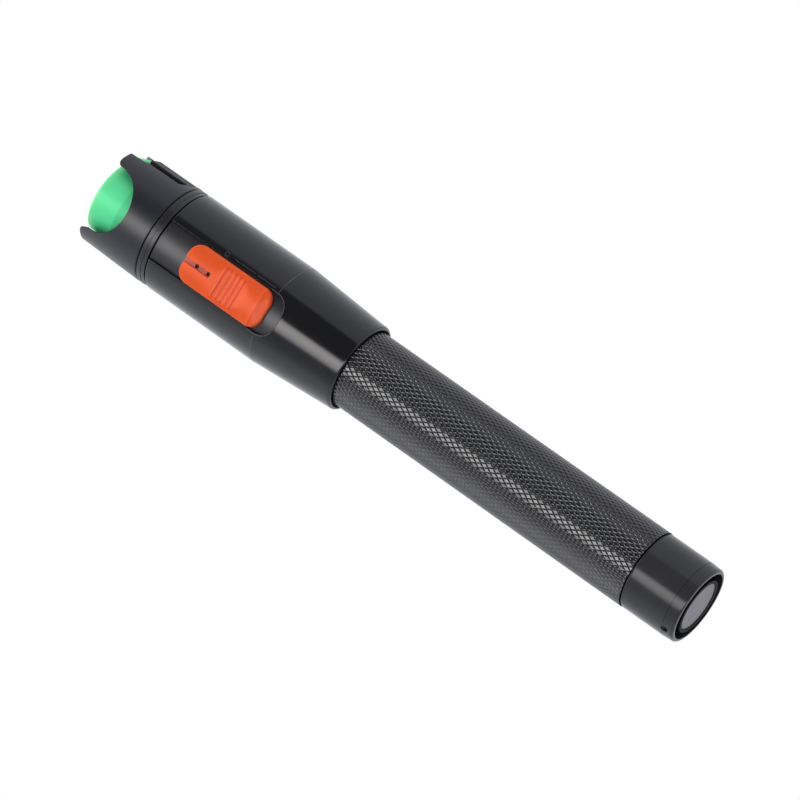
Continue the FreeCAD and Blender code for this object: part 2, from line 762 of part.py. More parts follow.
def add_button_ribs(body):
    """Ribs across the dish, standing up from its floor."""
    count = int(round(value("rib_count")))
    sketch = new_sketch(body, "XZ_Plane", "rib_outline")
    draw_outline(sketch, [("- rib_half", "rib_first - rib_edge"), ("rib_half", "rib_first - rib_edge"),
                          ("rib_half", "rib_first + rib_edge"), ("- rib_half", "rib_first + rib_edge")])
    offset_sketch(sketch, "rib_foot")
    rib = extrude(body, sketch, "button_rib", "PartDesign::Pad", "rib_rise")
    pattern = body.newObject("PartDesign::LinearPattern", "button_ribs")
    pattern.Originals = [rib]
    pattern.Direction = (sketch, ["V_Axis"])
    pattern.Occurrences = count
    bind(pattern, "Length", "rib_span")
    body.Tip = pattern
    doc.recompute()
    sketch = new_sketch(body, "YZ_Plane", "rib_crest_circle")
    draw_circle(sketch, "- dish_centre", "dish_middle", "dish_radius - rib_height")
    cut_checked(body, sketch, "rib_crests", "body_diameter", midplane=True)


def add_button_slot(body):
    """Open-ended slot in the front half, with two pits in its floor."""
    sketch = new_sketch(body, "XZ_Plane", "button_slot_outline")
    draw_outline(sketch, [("- slot_half", "slot_start", "slot_round"),
                          ("slot_half", "slot_start", "slot_round"),
                          ("slot_half", "button_end + body_wall"),
                          ("- slot_half", "button_end + body_wall")])
    offset_sketch(sketch, "slot_floor")
    cut_checked(body, sketch, "button_slot", "body_wall", reversed_way=True)
    sketch = new_sketch(body, "XZ_Plane", "button_pit_circles")
    for height in ("slot_start + slot_half", "slot_start + slot_half + pit_spacing"):
        draw_circle(sketch, "0", height, "pit_radius")
    offset_sketch(sketch, "pit_floor")
    cut_checked(body, sketch, "button_pits", "body_wall", reversed_way=True)


def make_button_stem():
    """Stem through the panel's slot, with a foot behind the panel."""
    body = new_body("button_stem")
    sketch = new_sketch(body, "XZ_Plane", "stem_outline")
    draw_box(sketch, "stem_half", "stem_start", "stem_end")
    offset_sketch(sketch, "carrier_floor")
    extrude(body, sketch, "stem_block", "PartDesign::Pad", "stem_rise")
    sketch = new_sketch(body, "XZ_Plane", "foot_outline")
    draw_box(sketch, "carrier_half", "carrier_start", "carrier_end")
    offset_sketch(sketch, "carrier_floor")
    extrude(body, sketch, "stem_foot", "PartDesign::Pad", "carrier_thickness")
    return body


# ---------------------------------------------------------------- head

def make_spacer_ring():
    """Ring between body and head, with a fine step round its middle."""
    return turned_part("spacer_ring", [
        ("cavity_radius", "ring_start"), ("ring_radius - ring_step", "ring_start"),
        ("ring_radius - ring_step", "ring_middle"), ("ring_radius", "ring_middle"),
        ("ring_radius", "ring_end"), ("cavity_radius", "ring_end")])


def make_head_shell():
    """Two-pronged nose: scalloped mouth, hinge notch and flat on the +X prong, neck behind."""
    body = turned_part("head_shell", [
        ("neck_bore_radius", "neck_end"), ("neck_radius", "neck_end"),
        ("neck_radius", "head_start"), ("body_radius", "head_start", "front_round"),
        ("head_front_radius", "tip_height"), ("head_bore_radius", "tip_height"),
        ("head_bore_radius", "port_floor"), ("adapter_hole", "port_floor"),
        ("adapter_hole", "port_back"), ("neck_bore_radius", "port_back")])
    sketch = new_sketch(body, "XZ_Plane", "scallop_outline")
    draw_outline(sketch, scallop_corners())
    cut_checked(body, sketch, "scallops", "body_diameter", midplane=True)
    sketch = new_sketch(body, "YZ_Plane", "notch_outline")
    draw_box(sketch, "notch_half_width", "notch_floor", "dust_cap_top")
    cut_checked(body, sketch, "hinge_notch", "body_diameter", reversed_way=True)
    sketch = new_sketch(body, "XZ_Plane", "facet_outline")
    draw_outline(sketch, [("facet_face", "facet_end"),
                          ("facet_face + facet_depth + fixed_gap", "facet_fade"),
                          ("facet_face + body_wall", "facet_fade"),
                          ("facet_face + body_wall", "dust_cap_top"), ("facet_face", "dust_cap_top")])
    cut_checked(body, sketch, "hinge_flat", "body_diameter", midplane=True)
    sketch = new_sketch(body, "YZ_Plane", "bracket_seat_outline")
    draw_box(sketch, "bracket_seat_half", "bracket_start - fixed_gap", "notch_floor + fixed_gap")
    offset_sketch(sketch, "bracket_back - fixed_gap")
    cut_checked(body, sketch, "bracket_seat", "body_wall", reversed_way=True)
    sketch = new_sketch(body, "XZ_Plane", "pin_hole_circle")
    draw_circle(sketch, "hinge_reach", "hinge_height", "pin_radius + fixed_gap")
    cut_checked(body, sketch, "pin_hole", "pin_length + fixed_gap", midplane=True)
    return body


def scallop_corners():
    """Round-bottomed mouth seen along Y, flaring over the rounded horn tips."""
    far, top = "body_radius + body_wall", "tip_height + body_wall"
    return [("- scallop_half", "scallop_floor", "scallop_corner"),
            ("scallop_half", "scallop_floor", "scallop_corner"),
            ("scallop_half", "tip_height", "tip_round"), (far, "tip_height"), (far, top),
            ("- body_radius - body_wall", top), ("- body_radius - body_wall", "tip_height"),
            ("- scallop_half", "tip_height", "tip_round")]


def make_hinge_bracket():
    """Cover strip let into the +X prong behind the hinge."""
    body = new_body("hinge_bracket")
    sketch = new_sketch(body, "YZ_Plane", "bracket_outline")
    draw_box(sketch, "bracket_half", "bracket_start", "bracket_end")
    offset_sketch(sketch, "bracket_back")
    extrude(body, sketch, "bracket_strip", "PartDesign::Pad", "bracket_thickness")
    return body


def make_hinge_pin():
    pin = doc.addObject("Part::Cylinder", "hinge_pin")
    pin.Label = "hinge_pin"
    bind(pin, "Radius", "pin_radius")
    bind(pin, "Height", "pin_length")
    pin.Placement.Rotation = FreeCAD.Rotation(FreeCAD.Vector(1, 0, 0), 90)
    bind(pin, "Placement.Base.x", "hinge_reach")
    bind(pin, "Placement.Base.y", "pin_half")
    bind(pin, "Placement.Base.z", "hinge_height")
    return pin


def make_dust_cap():
    """Cup over the port, with a lug and knuckle that turn on the hinge pin."""
    body = turned_part("dust_cap", [
        ("0", "dust_cap_top"), ("0", "dust_cap_roof"), ("dust_cap_inner", "dust_cap_roof"),
        ("dust_cap_inner", "dust_cap_bend"), ("dust_cap_end_inner", "dust_cap_end"),
        ("dust_cap_end_radius", "dust_cap_end"), ("dust_cap_radius", "dust_cap_bend"),
        ("dust_cap_radius", "dust_cap_top", "dust_cap_round")])
    sketch = new_sketch(body, "XZ_Plane", "lug_outline")
    draw_outline(sketch, [("dust_cap_inner + fixed_gap", "hinge_height - knuckle_radius"),
                          ("hinge_reach + knuckle_radius", "hinge_height - knuckle_radius", "knuckle_corner"),
                          ("hinge_reach + knuckle_radius", "hinge_height + knuckle_radius", "knuckle_corner"),
                          ("dust_cap_inner + fixed_gap", "hinge_height + knuckle_radius")])
    extrude(body, sketch, "hinge_lug", "PartDesign::Pad", "lug_width", midplane=True)
    sketch = new_sketch(body, "XZ_Plane", "lug_hole_circle")
    draw_circle(sketch, "hinge_reach", "hinge_height", "pin_radius + running_gap")
    cut_checked(body, sketch, "lug_hole", "body_diameter", midplane=True)
    return body


# ---------------------------------------------------------------- optics

def make_ferrule_adapter():
    """Nickel-plated port: barrel in front, flange behind the port floor."""
    return turned_part("ferrule_adapter", [
        ("light_hole_radius", "flange_start"), ("flange_radius", "flange_start"),
        ("flange_radius", "port_back - fixed_gap"), ("adapter_radius", "port_back - fixed_gap"),
        ("adapter_radius", "adapter_top", "adapter_round"), ("ferrule_mouth", "adapter_top"),
        ("ferrule_mouth", "adapter_top - sleeve_lip"), ("adapter_bore_radius", "adapter_top - sleeve_lip"),
        ("adapter_bore_radius", "sleeve_start - fixed_gap"),
        ("light_hole_radius", "sleeve_start - fixed_gap")])


def make_ceramic_sleeve():
    """Split zirconia sleeve that lines up the ferrule."""
    body = turned_part("ceramic_sleeve", [
        ("ferrule_radius", "sleeve_start"), ("sleeve_radius", "sleeve_start"),
        ("sleeve_radius", "sleeve_end"), ("ferrule_radius", "sleeve_end")])
    sketch = new_sketch(body, "XZ_Plane", "slit_outline")
    draw_box(sketch, "slit_half", "sleeve_start - fixed_gap", "sleeve_end + fixed_gap")
    cut_checked(body, sketch, "sleeve_slit_cut", "adapter_diameter")
    return body


def make_laser_module():
    """Brass barrel behind the port, bored for the lens in front and the diode behind."""
    return turned_part("laser_module", [
        ("light_hole_radius", "module_end"), ("light_hole_radius", "module_end - module_lip"),
        ("lens_pocket", "module_end - module_lip"), ("lens_pocket", "lens_start - fixed_gap"),
        ("light_hole_radius", "lens_start - fixed_gap"), ("light_hole_radius", "diode_end + fixed_gap"),
        ("diode_pocket", "diode_end + fixed_gap"), ("diode_pocket", "module_start"),
        ("module_radius", "module_start"), ("module_radius", "module_end")])


def make_focus_lens():
    """Plano-convex lens in the front of the laser barrel."""
    return turned_part("focus_lens", [
        ("0", "lens_start"), ("lens_radius", "lens_start"), ("lens_radius", "lens_end - lens_crown"),
        ("lens_shoulder", "lens_end"), ("0", "lens_end")])


def make_laser_diode():
    """Can package: wide flange behind, narrow can in front."""
    return turned_part("laser_diode", [
        ("0", "module_start"), ("diode_radius", "module_start"),
        ("diode_radius", "module_start + diode_flange"), ("diode_can_radius", "module_start + diode_flange"),
        ("diode_can_radius", "diode_end"), ("0", "diode_end")])


def make_heat_sink():
    """Aluminium sleeve that carries the laser barrel in the body."""
    return turned_part("heat_sink", [
        ("module_radius + fixed_gap", "sink_start"), ("neck_radius", "sink_start"),
        ("neck_radius", "sink_end"), ("module_radius + fixed_gap", "sink_end")])


# ---------------------------------------------------------------- electronics

def make_contact_carrier():
    """Insulating disc on the body's web, holding the front battery contact."""
    return turned_part("contact_carrier", [
        ("contact_radius + fixed_gap", "disc_start"), ("neck_radius", "disc_start"),
        ("neck_radius", "disc_end"), ("contact_flange_radius + fixed_gap", "disc_end"),
        ("contact_flange_radius + fixed_gap", "contact_step"),
        ("contact_radius + fixed_gap", "contact_step")])


def make_front_contact():
    """Brass button that the front cell's nub presses on."""
    return turned_part("front_contact", [
        ("0", "cell_end + fixed_gap"), ("contact_radius", "cell_end + fixed_gap"),
        ("contact_radius", "contact_step + fixed_gap"), ("contact_flange_radius", "contact_step + fixed_gap"),
        ("contact_flange_radius", "disc_end"), ("0", "disc_end")])


def make_block(label, half, low, high, back, thickness):
    """Flat block facing the button, its back at a distance from the pen's axis."""
    body = new_body(label)
    sketch = new_sketch(body, "XZ_Plane", label + "_outline")
    draw_box(sketch, half, low, high)
    offset_sketch(sketch, back)
    extrude(body, sketch, label + "_pad", "PartDesign::Pad", thickness)
    return body


def make_electronics():
    """Board across the body, with the switch, driver chip and capacitor on it."""
    board = make_block("circuit_board", "board_half", "board_start", "board_end",
                       "board_offset", "board_thickness")
    switch = make_block("slide_switch", "switch_half", "switch_start", "switch_end",
                        "board_front + solder_gap", "switch_height")
    knob = make_block("switch_knob", "knob_half", "stem_middle - knob_half", "stem_middle + knob_half",
                      "switch_front + slide_gap", "knob_rise")
    chip = make_block("driver_chip", "chip_half", "chip_start", "chip_start + chip_size",
                      "board_front + solder_gap", "chip_height")
    can = new_body("storage_capacitor")
    sketch = new_sketch(can, "XZ_Plane", "can_circle")
    draw_circle(sketch, "0", "can_middle", "can_radius")
    offset_sketch(sketch, "board_offset - solder_gap")
    extrude(can, sketch, "can_pad", "PartDesign::Pad", "can_height", reversed_way=True)
    return [board, switch, knob, chip, can]


# ---------------------------------------------------------------- assembly

def make_all():
    """Every piece of the locator, tail first."""
    parts = [make_tail_cap(), make_end_disc(), make_tail_seal(), make_tail_spring()]
    parts += [make_tube(), make_cell("battery_rear", "cell_start", "cell_middle - fixed_gap"),
              make_cell("battery_front", "cell_middle", "cell_end")]
    parts += [make_body_shell(), make_track_panel(), make_slide_button(), make_button_stem()]
    parts += [make_spacer_ring(), make_head_shell(), make_hinge_bracket(), make_hinge_pin(), make_dust_cap()]
    parts += [make_ferrule_adapter(), make_ceramic_sleeve(), make_laser_module(), make_focus_lens(),
              make_laser_diode(), make_heat_sink(), make_contact_carrier(), make_front_contact()]
    parts += make_electronics()
    return parts


def check_document():
    """Stop on any feature that failed without saying so."""
    doc.recompute()
    for item in doc.Objects:
        if "Invalid" in item.State or "Error" in item.State:
            raise RuntimeError("%s failed: %s" % (item.Name, item.State))


def export(parts):
    """Write one STEP file for each piece, after checking its solid."""
    os.makedirs("parts", exist_ok=True)
    for part in parts:
        shape = part.Shape
        if shape.isNull() or not shape.isValid() or len(shape.Solids) != 1:
            raise RuntimeError(part.Label + " is not one valid solid")
        shape.exportStep("parts/%s.step" % part.Label)
        print("%-18s %9.1f mm3" % (part.Label, shape.Volume))


pieces = make_all()
check_document()
export(pieces)
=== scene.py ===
import json
import math

import bpy
from mathutils import Matrix, Vector


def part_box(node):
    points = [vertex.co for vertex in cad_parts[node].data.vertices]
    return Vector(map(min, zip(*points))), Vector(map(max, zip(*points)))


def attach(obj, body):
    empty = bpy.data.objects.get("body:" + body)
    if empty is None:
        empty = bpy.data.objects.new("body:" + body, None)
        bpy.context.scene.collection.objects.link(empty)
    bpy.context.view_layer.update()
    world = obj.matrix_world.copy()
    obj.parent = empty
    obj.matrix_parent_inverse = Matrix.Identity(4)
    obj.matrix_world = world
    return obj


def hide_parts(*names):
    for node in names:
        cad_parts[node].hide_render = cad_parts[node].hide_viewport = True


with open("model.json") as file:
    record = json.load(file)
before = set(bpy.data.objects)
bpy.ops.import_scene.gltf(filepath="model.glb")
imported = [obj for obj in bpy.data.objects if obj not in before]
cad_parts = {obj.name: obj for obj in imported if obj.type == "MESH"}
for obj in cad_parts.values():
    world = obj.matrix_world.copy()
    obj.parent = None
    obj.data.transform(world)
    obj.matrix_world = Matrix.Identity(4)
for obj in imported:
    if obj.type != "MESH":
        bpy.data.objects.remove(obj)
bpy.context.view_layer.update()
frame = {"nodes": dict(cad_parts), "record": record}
NODES = frame["nodes"]
MM = 0.001

# ---------------------------------------------------------------- camera

CAMERA_AZIMUTH = math.radians(10.06)    # from straight in front of the button towards the hinge side
CAMERA_ELEVATION = math.radians(-19.15)
CAMERA_ROLL = math.radians(-54.89)
CAMERA_DISTANCE = 1.3505
CAMERA_AIM = Vector((0, 0, 0.088))      # place on the pen's axis that the camera looks past
CAMERA_AIM_RIGHT = 0.00027
CAMERA_AIM_DOWN = 0.00092
SENSOR_WIDTH = 36.0
LENS_LENGTH = 262.2915


def towards(azimuth, elevation):
    """Unit vector from the object: azimuth 0 is -Y (the button's side), +90 degrees is +X."""
    flat = math.cos(elevation)
    return Vector((math.sin(azimuth) * flat, -math.cos(azimuth) * flat, math.sin(elevation)))


def make_camera():
    """Camera at the photograph's viewing angle, rolled so that the pen lies across the picture."""
    out = towards(CAMERA_AZIMUTH, CAMERA_ELEVATION)
    right = Vector((0, 0, 1)).cross(out).normalized()
    up = out.cross(right)
    turned_right = right * math.cos(CAMERA_ROLL) + up * math.sin(CAMERA_ROLL)
    turned_up = up * math.cos(CAMERA_ROLL) - right * math.sin(CAMERA_ROLL)
    aim = CAMERA_AIM + turned_right * CAMERA_AIM_RIGHT - turned_up * CAMERA_AIM_DOWN
    data = bpy.data.cameras.new("camera")
    data.sensor_width = SENSOR_WIDTH
    data.lens = LENS_LENGTH
    data.clip_start = 0.05
    data.clip_end = 50
    camera = bpy.data.objects.new("camera", data)
    bpy.context.scene.collection.objects.link(camera)
    place = Matrix((turned_right, turned_up, out)).transposed().to_4x4()
    place.translation = aim + out * CAMERA_DISTANCE
    camera.matrix_world = place
    bpy.context.scene.camera = camera


# ---------------------------------------------------------------- world, lamps, floor

def math_node(tree, operation, first, second=None):
    """Math node's output, from sockets or plain numbers."""
    node = tree.nodes.new("ShaderNodeMath")
    node.operation = operation
    for index, item in enumerate((first, second)):
        if item is None:
            continue
        if isinstance(item, (int, float)):
            node.inputs[index].default_value = item
        else:
            tree.links.new(item, node.inputs[index])
    return node.outputs[0]


def ramp_node(tree, factor, stops, interpolation="LINEAR"):
    """Colour ramp from (position, colour) stops; a single number is a grey."""
    node = tree.nodes.new("ShaderNodeValToRGB")
    ramp = node.color_ramp
    ramp.interpolation = interpolation
    while len(ramp.elements) < len(stops):
        ramp.elements.new(0.5)
    for element, (position, colour) in zip(ramp.elements, stops):
        element.position = position
        if isinstance(colour, (int, float)):
            colour = (colour, colour, colour)
        element.color = (*colour, 1)
    tree.links.new(factor, node.inputs[0])
    return node.outputs[0]


WORLD_FILL = 0.62        # light that the studio casts on matt surfaces


def bearing_stop(degrees):
    """Place on the studio's ramp of a bearing from -Y towards +X."""
    return 0.5 + degrees / 360


# what glossy surfaces see: greys behind, a bright strip and a dark opening in front
STUDIO_BANDS = [
    (bearing_stop(-170), (1.05, 1.07, 1.13)),
    (bearing_stop(-75), (1.0, 1.02, 1.09)),
    (bearing_stop(-55), (0.55, 0.57, 0.62)),
    (bearing_stop(-31), (0.4, 0.42, 0.47)),
    (bearing_stop(-23), (4.6, 4.45, 4.4)),
    (bearing_stop(-12), (6.6, 6.35, 6.25)),
    (bearing_stop(-3), (5.6, 5.4, 5.3)),
    (bearing_stop(2), (0.1, 0.1, 0.11)),
    (bearing_stop(53), (0.1, 0.1, 0.12)),
    (bearing_stop(56), (0.68, 0.69, 0.76)),
    (bearing_stop(100), (0.9, 0.91, 0.98)),
    (bearing_stop(175), (1.05, 1.07, 1.13)),
]


def make_world():
    """White background; in reflections it is a white studio with a dark opening round the camera."""
    world = bpy.data.worlds.new("studio")
    bpy.context.scene.world = world
    world.use_nodes = True
    tree = world.node_tree
    tree.nodes.clear()
    output = tree.nodes.new("ShaderNodeOutputWorld")
    place = tree.nodes.new("ShaderNodeTexCoord")
    split = tree.nodes.new("ShaderNodeSeparateXYZ")
    tree.links.new(place.outputs["Generated"], split.inputs[0])
    # bearing round the pen from -Y towards +X, as 0 to 1 with 0.5 straight ahead
    back = math_node(tree, "MULTIPLY", split.outputs[1], -1.0)
    bearing = math_node(tree, "ARCTAN2", split.outputs[0], back)
    turns = math_node(tree, "MULTIPLY_ADD", bearing, 1 / (2 * math.pi))
    turns.node.inputs[2].default_value = 0.5
    bands = ramp_node(tree, turns, STUDIO_BANDS)
    background = tree.nodes.new("ShaderNodeBackground")
    path = tree.nodes.new("ShaderNodeLightPath")
    seen = math_node(tree, "MAXIMUM", path.outputs["Is Camera Ray"], path.outputs["Is Transmission Ray"])
    mix = tree.nodes.new("ShaderNodeMix")
    mix.data_type = "RGBA"
    tree.links.new(path.outputs["Is Glossy Ray"], mix.inputs["Factor"])
    mix.inputs["A"].default_value = (*[WORLD_FILL] * 3, 1)
    tree.links.new(bands, mix.inputs["B"])
    white = tree.nodes.new("ShaderNodeMix")
    white.data_type = "RGBA"
    tree.links.new(seen, white.inputs["Factor"])
    tree.links.new(mix.outputs["Result"], white.inputs["A"])
    white.inputs["B"].default_value = (1, 1, 1, 1)
    tree.links.new(white.outputs["Result"], background.inputs["Color"])
    tree.links.new(background.outputs[0], output.inputs[0])


LAMP_AIM = Vector((0, 0, 0.09))


def make_lamp(name, azimuth, elevation, distance, size, power):
    """Soft square lamp turned to the pen's middle, unseen in reflections."""
    data = bpy.data.lights.new(name, "AREA")
    data.shape = "SQUARE"
    data.size = size
    data.energy = power
    lamp = bpy.data.objects.new(name, data)
    bpy.context.scene.collection.objects.link(lamp)
    out = towards(math.radians(azimuth), math.radians(elevation))
    lamp.location = LAMP_AIM + out * distance
    lamp.rotation_euler = out.to_track_quat("Z", "Y").to_euler()
    lamp.visible_glossy = False
    lamp.visible_camera = False


FLOOR_HALF = 3.0
FLOOR_TONE = 0.86
FLOOR_FADE = [(0.1, 0.0), (0.5, 1.0)]      # metres from the pen, share of the background seen


def make_floor():
    """Pale floor under the tail that fades into the background; from below it lets the view through."""
    mesh = bpy.data.meshes.new("floor")
    half = FLOOR_HALF
    corners = [(-half, -half, 0), (half, -half, 0), (half, half, 0), (-half, half, 0)]
    mesh.from_pydata(corners, [], [(0, 1, 2, 3)])
    floor = bpy.data.objects.new("floor", mesh)
    bpy.context.scene.collection.objects.link(floor)
    material = bpy.data.materials.new("pale_floor")
    material.use_nodes = True
    tree = material.node_tree
    tree.nodes.clear()
    output = tree.nodes.new("ShaderNodeOutputMaterial")
    shader = tree.nodes.new("ShaderNodeBsdfDiffuse")
    shader.inputs["Color"].default_value = (FLOOR_TONE, FLOOR_TONE, FLOOR_TONE, 1)
    clear = tree.nodes.new("ShaderNodeBsdfTransparent")
    side = tree.nodes.new("ShaderNodeNewGeometry")
    away = tree.nodes.new("ShaderNodeVectorMath")
    away.operation = "LENGTH"
    tree.links.new(tree.nodes.new("ShaderNodeTexCoord").outputs["Object"], away.inputs[0])
    fade = ramp_node(tree, away.outputs["Value"], FLOOR_FADE, "EASE")
    mix = tree.nodes.new("ShaderNodeMixShader")
    tree.links.new(math_node(tree, "MAXIMUM", side.outputs["Backfacing"], fade), mix.inputs[0])
    tree.links.new(shader.outputs[0], mix.inputs[1])
    tree.links.new(clear.outputs[0], mix.inputs[2])
    tree.links.new(mix.outputs[0], output.inputs[0])
    floor.data.materials.append(material)
    floor.visible_shadow = False
    floor.visible_diffuse = False
    floor.visible_glossy = False
    floor.visible_transmission = False


# ---------------------------------------------------------------- materials

DUST_SPACING = 2.2
DUST_TONE = 0.5


def dusted(tree, place, tone, lightness):
    """Lay sparse pale specks of dust over a colour."""
    cells = tree.nodes.new("ShaderNodeTexVoronoi")
    cells.inputs["Scale"].default_value = 1 / (DUST_SPACING * MM)
    tree.links.new(place, cells.inputs["Vector"])
    spot = ramp_node(tree, cells.outputs["Distance"], [(0.03, 1.0), (0.05, 0.0)])
    chosen = ramp_node(tree, cells.outputs["Color"], [(0.72, 0.0), (0.8, 1.0)])
    mask = math_node(tree, "MULTIPLY", spot, chosen)
    mix = tree.nodes.new("ShaderNodeMix")
    mix.data_type = "RGBA"
    tree.links.new(math_node(tree, "MULTIPLY", mask, lightness), mix.inputs["Factor"])
    tree.links.new(tone, mix.inputs["A"])
    mix.inputs["B"].default_value = (DUST_TONE, DUST_TONE, DUST_TONE, 1)
    return mix.outputs["Result"]


MOTTLE_SIZE = 6.0
ROUGHNESS_SPREAD = 0.06


def finish_material(name, colour, roughness, metallic=0.0, grain=0.0, grain_size=0.15, mottle=0.06,
                    streak=None, specular=0.5, subsurface=0.0, specks=0.0, edge=0.1):
    """Principled finish with a slightly uneven colour and roughness and a fine moulded or turned grain.

    grain is the bump height in millimetres, grain_size its scale in millimetres; streak stretches the
    grain round the pen's axis for turned work; specks is the lightness of sparse dust, and edge the
    radius in millimetres to which sharp edges are eased.
    """
    material = bpy.data.materials.new(name)
    material.use_nodes = True
    tree = material.node_tree
    shader = tree.nodes["Principled BSDF"]
    place = tree.nodes.new("ShaderNodeTexCoord").outputs["Object"]
    broad = tree.nodes.new("ShaderNodeTexNoise")
    broad.inputs["Scale"].default_value = 1 / (MOTTLE_SIZE * MM)
    broad.inputs["Detail"].default_value = 3
    tree.links.new(place, broad.inputs["Vector"])
    dark = tuple(channel * (1 - mottle) for channel in colour)
    light = tuple(min(1.0, channel * (1 + mottle)) for channel in colour)
    tone = ramp_node(tree, broad.outputs["Fac"], [(0.3, dark), (0.7, light)])
    if specks:
        tone = dusted(tree, place, tone, specks)
    tree.links.new(tone, shader.inputs["Base Color"])
    gloss = [(0.3, roughness * (1 - ROUGHNESS_SPREAD)), (0.7, roughness * (1 + ROUGHNESS_SPREAD))]
    tree.links.new(ramp_node(tree, broad.outputs["Fac"], gloss), shader.inputs["Roughness"])
    shader.inputs["Metallic"].default_value = metallic
    shader.inputs["Specular IOR Level"].default_value = specular
    shader.inputs["Subsurface Weight"].default_value = subsurface
    eased = None
    if edge:
        eased = tree.nodes.new("ShaderNodeBevel")
        eased.samples = 6
        eased.inputs["Radius"].default_value = edge * MM
        tree.links.new(eased.outputs[0], shader.inputs["Normal"])
    if grain:
        fine = tree.nodes.new("ShaderNodeTexNoise")
        fine.inputs["Scale"].default_value = 1 / (grain_size * MM)
        fine.inputs["Detail"].default_value = 2
        if streak:
            mapping = tree.nodes.new("ShaderNodeMapping")
            mapping.inputs["Scale"].default_value = streak
            tree.links.new(place, mapping.inputs["Vector"])
            tree.links.new(mapping.outputs[0], fine.inputs["Vector"])
        else:
            tree.links.new(place, fine.inputs["Vector"])
        bump = tree.nodes.new("ShaderNodeBump")
        bump.inputs["Distance"].default_value = grain * MM
        bump.inputs["Strength"].default_value = 1.0
        tree.links.new(fine.outputs["Fac"], bump.inputs["Height"])
        if eased:
            tree.links.new(eased.outputs[0], bump.inputs["Normal"])
        tree.links.new(bump.outputs[0], shader.inputs["Normal"])
    return material


MATERIALS = {
    "body_plastic": finish_material("body_plastic", (0.0075, 0.0078, 0.0095), 0.14, grain=0.0012,
                                    grain_size=0.5, specks=0.3, edge=0.16),
    "panel_plastic": finish_material("panel_plastic", (0.013, 0.0135, 0.0175), 0.36, grain=0.003,
                                     grain_size=0.35, edge=0.1),
    "head_plastic": finish_material("head_plastic", (0.0125, 0.0135, 0.0185), 0.36, grain=0.003,
                                    grain_size=0.3, specks=0.15, edge=0.12),
    "anodised_black": finish_material("anodised_black", (0.031, 0.0315, 0.0375), 0.165, grain=0.0014,
                                      streak=(0.25, 0.25, 5), specular=0.28, edge=0.14),
    "knurl_black": finish_material("knurl_black", (0.0065, 0.007, 0.0095), 0.16, grain=0.0005,
                                   specular=0.85, edge=0),
    # lighter copy of knurl_black for the groove slopes: painted light on the walls
    "knurl_slope_painted_lit": finish_material("knurl_slope_painted_lit", (0.013, 0.0135, 0.017), 0.19, grain=0.0005, specular=0.85,
                                  edge=0),
    "bracket_black": finish_material("bracket_black", (0.006, 0.006, 0.008), 0.5, grain=0.0003, specular=0.15,
                                     edge=0.08),
    # near-black, low-gloss finish laid in the tail cap's recess and along its turned line: painted shade
    "groove_painted_shade": finish_material("groove_painted_shade", (0.003, 0.003, 0.0035), 0.6, grain=0.002, specular=0.1),
    # light grey for thin lines on the crease, the track's edge and the raised marks: painted highlight
    "painted_highlight_line": finish_material("painted_highlight_line", (0.085, 0.085, 0.09), 0.4, grain=0.001),
    "satin_disc": finish_material("satin_disc", (0.2, 0.193, 0.213), 0.5, metallic=0.35, grain=0.002),
    "orange_plastic": finish_material("orange_plastic", (0.8, 0.092, 0.018), 0.3, grain=0.002,
                                      subsurface=0.05, mottle=0.03, specular=0.24),
    "slot_pink": finish_material("slot_pink", (0.5, 0.12, 0.075), 0.6, grain=0.004, grain_size=0.2,
                                 mottle=0.2),
    # near-black for the pits in the button's slot: painted shade in the holes
    "pit_painted_shade": finish_material("pit_painted_shade", (0.02, 0.006, 0.005), 0.6, grain=0.002),
    "green_plastic": finish_material("green_plastic", (0.105, 0.79, 0.33), 0.45, grain=0.002,
                                     subsurface=0.12, mottle=0.03),
    "rubber_black": finish_material("rubber_black", (0.012, 0.012, 0.012), 0.6, grain=0.003),
    "spring_steel": finish_material("spring_steel", (0.55, 0.55, 0.56), 0.3, metallic=1.0, grain=0.001),
    "cell_jacket": finish_material("cell_jacket", (0.08, 0.09, 0.1), 0.35, grain=0.001),
    "nickel": finish_material("nickel", (0.62, 0.6, 0.56), 0.18, metallic=1.0, grain=0.001),
    "zirconia": finish_material("zirconia", (0.85, 0.84, 0.8), 0.15, grain=0.001),
    "brass": finish_material("brass", (0.7, 0.48, 0.18), 0.25, metallic=1.0, grain=0.001),
    "optical_glass": finish_material("optical_glass", (0.8, 0.85, 0.95), 0.05, grain=0.0005),
    "gold_can": finish_material("gold_can", (0.75, 0.52, 0.18), 0.25, metallic=1.0, grain=0.001),
    "bare_aluminium": finish_material("bare_aluminium", (0.68, 0.68, 0.7), 0.3, metallic=1.0, grain=0.001),
    "insulator": finish_material("insulator", (0.7, 0.68, 0.6), 0.5, grain=0.002),
    "board_green": finish_material("board_green", (0.03, 0.2, 0.08), 0.4, grain=0.002),
    "switch_black": finish_material("switch_black", (0.02, 0.02, 0.02), 0.45, grain=0.002),
}


# ---------------------------------------------------------------- meshes

def low_high(node, axis=2):
    """Lowest and highest place of a CAD node along one axis, in millimetres."""
    low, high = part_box(node)
    return low[axis] / MM, high[axis] / MM


def around(radius, degrees, height):
    """Point at a radius, a bearing from -Y towards +X, and a height, in millimetres."""
    bearing = math.radians(degrees)
    return (radius * math.sin(bearing), -radius * math.cos(bearing), height)


def mesh_from(name, points, faces, materials, slots=None):
    """Smooth mesh from points in millimetres; slots gives each face's material."""
    mesh = bpy.data.meshes.new(name)
    mesh.from_pydata([[axis * MM for axis in point] for point in points], [], faces)
    for material in materials:
        mesh.materials.append(MATERIALS[material])
    if slots:
        mesh.polygons.foreach_set("material_index", slots)
    mesh.polygons.foreach_set("use_smooth", [True] * len(mesh.polygons))
    return mesh


